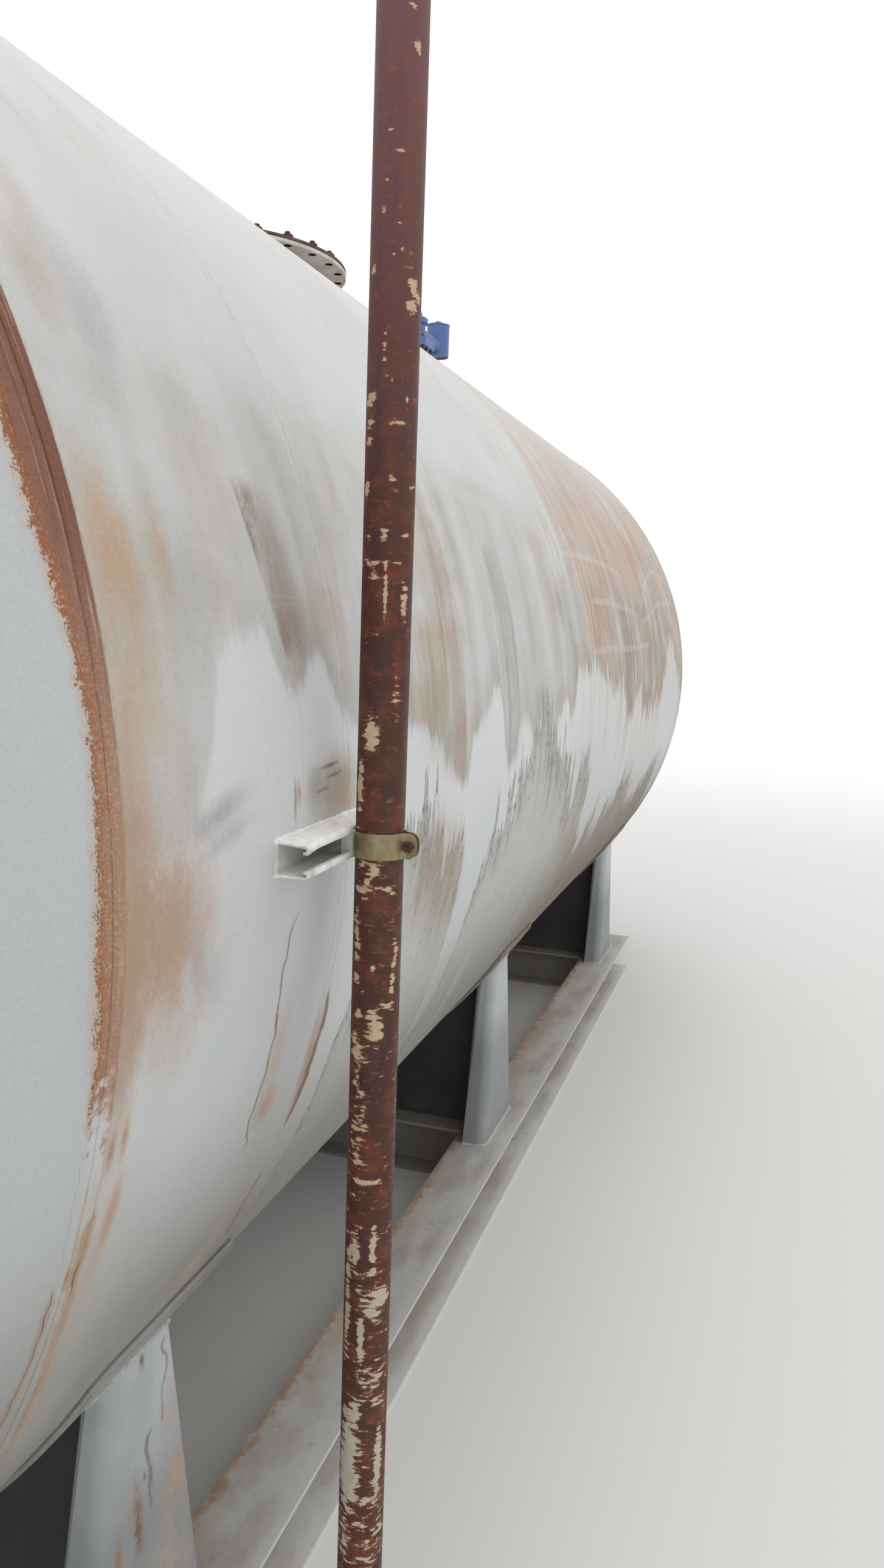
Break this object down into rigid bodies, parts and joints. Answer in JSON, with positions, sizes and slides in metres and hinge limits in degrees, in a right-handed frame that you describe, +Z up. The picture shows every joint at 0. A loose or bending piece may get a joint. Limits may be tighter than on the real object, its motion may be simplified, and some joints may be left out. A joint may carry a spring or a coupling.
{
  "type": "horizontal pressure tank",
  "caption": "Large horizontal steel pressure tank with dished ends, bent-plate saddles on a beam skid, a top manway, a relief vent and a clamped standpipe.",
  "frame": {"origin": "on the ground under the middle of the tank, on the underside of the middle cross beam, half way between the two skid beams", "axes": "+X along the tank axis, towards the end with the relief vent; +Z up; the standpipe stands on the -Y side"},
  "size_m": [5.96, 2.5628, 3.1],
  "materials": {
    "tank_paint": "chalky off-white paint, weathered and stained",
    "bare_rust": "mild steel with brown rust",
    "web_paint": "dark grey paint, dull",
    "skid_paint": "grey-white paint with tan dirt and rusty edges",
    "vent_paint": "blue enamel, slightly faded",
    "gasket": "black sheet gasket",
    "screen_wire": "dull steel screen",
    "pipe_rust": "dark red-brown rust with remnants of cream paint",
    "zinc": "yellowed zinc plate"
  },
  "bodies": {
    "root": {"shell": "tank_paint", "head_near": "tank_paint", "head_far": "tank_paint", "girth_welds": "bare_rust", "wear_pad_1": "tank_paint", "wear_pad_2": "tank_paint", "wear_pad_3": "tank_paint", "saddle_web_1": "web_paint", "saddle_web_2": "web_paint", "saddle_web_3": "web_paint", "saddle_posts_1": "tank_paint", "saddle_posts_2": "tank_paint", "saddle_posts_3": "tank_paint", "skid_beam_right": "skid_paint", "skid_beam_left": "skid_paint", "cross_beam_1": "skid_paint", "cross_beam_2": "skid_paint", "cross_beam_3": "skid_paint", "manway_neck": "tank_paint", "manway_flange": "tank_paint", "manway_gasket": "gasket", "manway_cover": "bare_rust", "vent_nozzle": "tank_paint", "vent_nozzle_flange": "vent_paint", "vent_body": "vent_paint", "vent_cap": "vent_paint", "vent_hood": "vent_paint", "vent_lid": "vent_paint", "vent_screen": "screen_wire", "strut_bracket": "tank_paint", "standpipe": "pipe_rust", "clamp_rear": "zinc", "clamp_front": "zinc"}
  },
  "joints": []
}
